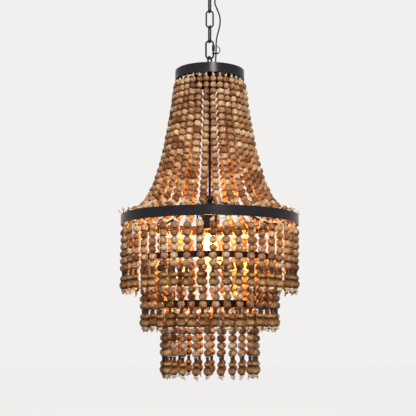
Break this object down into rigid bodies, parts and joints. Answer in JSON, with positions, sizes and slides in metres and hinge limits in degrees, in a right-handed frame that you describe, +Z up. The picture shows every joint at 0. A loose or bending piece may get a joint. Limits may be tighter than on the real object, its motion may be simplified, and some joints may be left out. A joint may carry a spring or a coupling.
{
  "type": "beaded chandelier",
  "caption": "Chain-hung chandelier of round black steel bands dressed with strands of turned wooden beads, lit by one bare lamp inside.",
  "frame": {"origin": "middle of the ceiling bracket's top face, on the ceiling", "axes": "+Z up along the chandelier's axis into the ceiling, +X to the picture's right, where the cord hangs"},
  "size_m": [0.4236, 0.4242, 0.9847],
  "materials": {
    "black_steel": "satin black powder coat",
    "black_zinc": "satin black plate",
    "black_plastic": "fine matte",
    "black_cord": "smooth sheath",
    "porcelain": "glazed",
    "brass": "bright",
    "clear_glass": "clear, faintly amber",
    "filament": "glowing wire",
    "turned_wood": "turned, washed and unvarnished"
  },
  "bodies": {
    "ceiling_fitting": {"ceiling_bracket": "black_zinc", "ceiling_cup": "black_steel", "ceiling_nipple": "black_zinc", "ceiling_loop": "black_zinc", "cup_cord_grip": "black_plastic"},
    "upper_link": {"chain_link_1": "black_zinc"},
    "middle_link": {"chain_link_2": "black_zinc"},
    "lower_link": {"chain_link_3": "black_zinc"},
    "screw_lock_link": {"screw_link": "black_zinc", "screw_link_nut": "black_zinc", "cord_tie": "black_plastic"},
    "frame": {"hanging_eye": "black_zinc", "top_plate": "black_steel", "plate_cord_grip": "black_plastic", "coupling_nut": "black_zinc", "stem": "black_zinc", "stem_nut": "black_zinc", "inner_lead": "black_cord", "spider": "black_steel", "top_band": "black_steel", "main_band": "black_steel", "middle_band": "black_steel", "bottom_band": "black_steel", "holder_cap": "black_plastic", "holder_body": "black_plastic", "holder_core": "porcelain", "holder_contact": "brass", "mains_cord": "black_cord", "upper_strands_1": "turned_wood", "upper_strands_2": "turned_wood", "upper_strands_3": "turned_wood", "upper_strands_4": "turned_wood"},
    "lamp": {"lamp_cap": "brass", "lamp_glass": "clear_glass", "lamp_stem": "clear_glass", "lamp_filament": "filament"},
    "main_strands_1": {"main_strands_1": "turned_wood"},
    "main_strands_2": {"main_strands_2": "turned_wood"},
    "main_strands_3": {"main_strands_3": "turned_wood"},
    "main_strands_4": {"main_strands_4": "turned_wood"},
    "main_strands_5": {"main_strands_5": "turned_wood"},
    "main_strands_6": {"main_strands_6": "turned_wood"},
    "main_strands_7": {"main_strands_7": "turned_wood"},
    "main_strands_8": {"main_strands_8": "turned_wood"},
    "main_strands_9": {"main_strands_9": "turned_wood"},
    "middle_strands_1": {"middle_strands_1": "turned_wood"},
    "middle_strands_2": {"middle_strands_2": "turned_wood"},
    "middle_strands_3": {"middle_strands_3": "turned_wood"},
    "middle_strands_4": {"middle_strands_4": "turned_wood"},
    "middle_strands_5": {"middle_strands_5": "turned_wood"},
    "middle_strands_6": {"middle_strands_6": "turned_wood"},
    "middle_strands_7": {"middle_strands_7": "turned_wood"},
    "middle_strands_8": {"middle_strands_8": "turned_wood"},
    "middle_strands_9": {"middle_strands_9": "turned_wood"},
    "bottom_strands_1": {"bottom_strands_1": "turned_wood"},
    "bottom_strands_2": {"bottom_strands_2": "turned_wood"},
    "bottom_strands_3": {"bottom_strands_3": "turned_wood"},
    "bottom_strands_4": {"bottom_strands_4": "turned_wood"},
    "bottom_strands_5": {"bottom_strands_5": "turned_wood"},
    "bottom_strands_6": {"bottom_strands_6": "turned_wood"}
  },
  "joints": [
    {"name": "upper_link_swing", "type": "hinge", "parent": "ceiling_fitting", "child": "upper_link", "pos_m": [0, 0, -0.0708], "axis": [1, 0, 0], "range_deg": [-15, 15], "deforming": ["mains_cord"]},
    {"name": "middle_link_swing", "type": "hinge", "parent": "upper_link", "child": "middle_link", "pos_m": [0, 0, -0.10785], "axis": [0, 1, 0], "range_deg": [-15, 15], "deforming": ["mains_cord"]},
    {"name": "lower_link_swing", "type": "hinge", "parent": "middle_link", "child": "lower_link", "pos_m": [0, 0, -0.14545], "axis": [1, 0, 0], "range_deg": [-15, 15], "deforming": ["mains_cord"]},
    {"name": "screw_lock_link_swing", "type": "hinge", "parent": "lower_link", "child": "screw_lock_link", "pos_m": [0, 0, -0.18305], "axis": [0, 1, 0], "range_deg": [-15, 15], "deforming": ["mains_cord"]},
    {"name": "frame_swing", "type": "hinge", "parent": "screw_lock_link", "child": "frame", "pos_m": [0, 0, -0.22375], "axis": [1, 0, 0], "range_deg": [-15, 15], "deforming": ["mains_cord"]},
    {"name": "lamp_unscrew", "type": "slide", "parent": "frame", "child": "lamp", "axis": [0, 0, -1], "range_m": [0, 0.03]},
    {"name": "main_strands_1_swing", "type": "hinge", "parent": "frame", "child": "main_strands_1", "pos_m": [0.1971, 0, -0.62165], "axis": [0, -1, 0], "range_deg": [-3, 12]},
    {"name": "main_strands_2_swing", "type": "hinge", "parent": "frame", "child": "main_strands_2", "pos_m": [0.15099, 0.1267, -0.62165], "axis": [0.6428, -0.766, 0], "range_deg": [-3, 12]},
    {"name": "main_strands_3_swing", "type": "hinge", "parent": "frame", "child": "main_strands_3", "pos_m": [0.03423, 0.19411, -0.62165], "axis": [0.9848, -0.1736, 0], "range_deg": [-3, 12]},
    {"name": "main_strands_4_swing", "type": "hinge", "parent": "frame", "child": "main_strands_4", "pos_m": [-0.09855, 0.1707, -0.62165], "axis": [0.866, 0.5, 0], "range_deg": [-3, 12]},
    {"name": "main_strands_5_swing", "type": "hinge", "parent": "frame", "child": "main_strands_5", "pos_m": [-0.18522, 0.06741, -0.62165], "axis": [0.342, 0.9397, 0], "range_deg": [-3, 12]},
    {"name": "main_strands_6_swing", "type": "hinge", "parent": "frame", "child": "main_strands_6", "pos_m": [-0.18522, -0.06741, -0.62165], "axis": [-0.342, 0.9397, 0], "range_deg": [-3, 12]},
    {"name": "main_strands_7_swing", "type": "hinge", "parent": "frame", "child": "main_strands_7", "pos_m": [-0.09855, -0.1707, -0.62165], "axis": [-0.866, 0.5, 0], "range_deg": [-3, 12]},
    {"name": "main_strands_8_swing", "type": "hinge", "parent": "frame", "child": "main_strands_8", "pos_m": [0.03423, -0.19411, -0.62165], "axis": [-0.9848, -0.1736, 0], "range_deg": [-3, 12]},
    {"name": "main_strands_9_swing", "type": "hinge", "parent": "frame", "child": "main_strands_9", "pos_m": [0.15099, -0.1267, -0.62165], "axis": [-0.6428, -0.766, 0], "range_deg": [-3, 12]},
    {"name": "middle_strands_1_swing", "type": "hinge", "parent": "frame", "child": "middle_strands_1", "pos_m": [0.15108, 0, -0.70765], "axis": [0, -1, 0], "range_deg": [-2.5, 10]},
    {"name": "middle_strands_2_swing", "type": "hinge", "parent": "frame", "child": "middle_strands_2", "pos_m": [0.11574, 0.09711, -0.70765], "axis": [0.6428, -0.766, 0], "range_deg": [-2.5, 10]},
    {"name": "middle_strands_3_swing", "type": "hinge", "parent": "frame", "child": "middle_strands_3", "pos_m": [0.02624, 0.14879, -0.70765], "axis": [0.9848, -0.1736, 0], "range_deg": [-2.5, 10]},
    {"name": "middle_strands_4_swing", "type": "hinge", "parent": "frame", "child": "middle_strands_4", "pos_m": [-0.07554, 0.13084, -0.70765], "axis": [0.866, 0.5, 0], "range_deg": [-2.5, 10]},
    {"name": "middle_strands_5_swing", "type": "hinge", "parent": "frame", "child": "middle_strands_5", "pos_m": [-0.14197, 0.05167, -0.70765], "axis": [0.342, 0.9397, 0], "range_deg": [-2.5, 10]},
    {"name": "middle_strands_6_swing", "type": "hinge", "parent": "frame", "child": "middle_strands_6", "pos_m": [-0.14197, -0.05167, -0.70765], "axis": [-0.342, 0.9397, 0], "range_deg": [-2.5, 10]},
    {"name": "middle_strands_7_swing", "type": "hinge", "parent": "frame", "child": "middle_strands_7", "pos_m": [-0.07554, -0.13084, -0.70765], "axis": [-0.866, 0.5, 0], "range_deg": [-2.5, 10]},
    {"name": "middle_strands_8_swing", "type": "hinge", "parent": "frame", "child": "middle_strands_8", "pos_m": [0.02624, -0.14879, -0.70765], "axis": [-0.9848, -0.1736, 0], "range_deg": [-2.5, 10]},
    {"name": "middle_strands_9_swing", "type": "hinge", "parent": "frame", "child": "middle_strands_9", "pos_m": [0.11574, -0.09711, -0.70765], "axis": [-0.6428, -0.766, 0], "range_deg": [-2.5, 10]},
    {"name": "bottom_strands_1_swing", "type": "hinge", "parent": "frame", "child": "bottom_strands_1", "pos_m": [0.10091, -0.01779, -0.81465], "axis": [-0.1736, -0.9848, 0], "range_deg": [-2, 16]},
    {"name": "bottom_strands_2_swing", "type": "hinge", "parent": "frame", "child": "bottom_strands_2", "pos_m": [0.06587, 0.0785, -0.81465], "axis": [0.766, -0.6428, 0], "range_deg": [-2, 16]},
    {"name": "bottom_strands_3_swing", "type": "hinge", "parent": "frame", "child": "bottom_strands_3", "pos_m": [-0.03505, 0.09629, -0.81465], "axis": [0.9397, 0.342, 0], "range_deg": [-2, 16]},
    {"name": "bottom_strands_4_swing", "type": "hinge", "parent": "frame", "child": "bottom_strands_4", "pos_m": [-0.10091, 0.01779, -0.81465], "axis": [0.1736, 0.9848, 0], "range_deg": [-2, 16]},
    {"name": "bottom_strands_5_swing", "type": "hinge", "parent": "frame", "child": "bottom_strands_5", "pos_m": [-0.06587, -0.0785, -0.81465], "axis": [-0.766, 0.6428, 0], "range_deg": [-2, 16]},
    {"name": "bottom_strands_6_swing", "type": "hinge", "parent": "frame", "child": "bottom_strands_6", "pos_m": [0.03505, -0.09629, -0.81465], "axis": [-0.9397, -0.342, 0], "range_deg": [-2, 16]}
  ]
}
